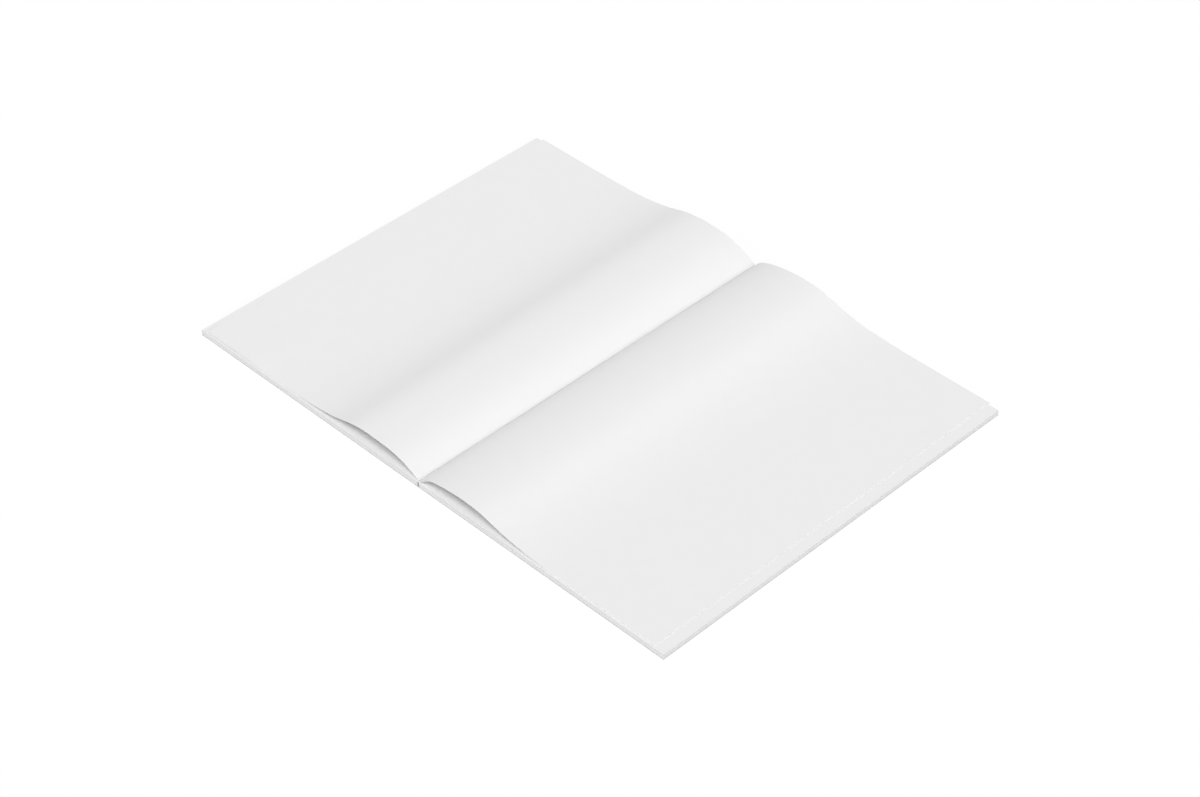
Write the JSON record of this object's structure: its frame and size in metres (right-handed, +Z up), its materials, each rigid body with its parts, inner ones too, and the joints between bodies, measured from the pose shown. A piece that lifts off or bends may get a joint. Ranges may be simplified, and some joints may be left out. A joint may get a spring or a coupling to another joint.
{
  "type": "opened notebook",
  "caption": "Blank softcover notebook lying flat and open at its middle, the uppermost leaf of each side arching up beside the binding; its front half folds over to close.",
  "frame": {"origin": "middle of the spine's length, on the surface that the open notebook lies on", "axes": "+X across the right-hand page to its fore-edge, +Y along the spine towards the head, +Z up out of the open pages"},
  "size_m": [0.2888, 0.2111, 0.011],
  "materials": {
    "cover_card": "matt uncoated white card",
    "page_paper": "matt uncoated white paper, cut edges",
    "leaf_paper": "matt uncoated white paper"
  },
  "bodies": {
    "back_half": {"back_cover": "cover_card", "right_pages": "page_paper", "right_leaf": "leaf_paper"},
    "front_half": {"front_cover": "cover_card", "left_pages": "page_paper", "left_leaf": "leaf_paper"}
  },
  "joints": [
    {"name": "cover_hinge", "type": "hinge", "parent": "back_half", "child": "front_half", "pos_m": [0, 0, 0.0031], "axis": [0, 1, 0], "range_deg": [0, 180], "deforming": ["left_leaf", "right_leaf"]}
  ]
}
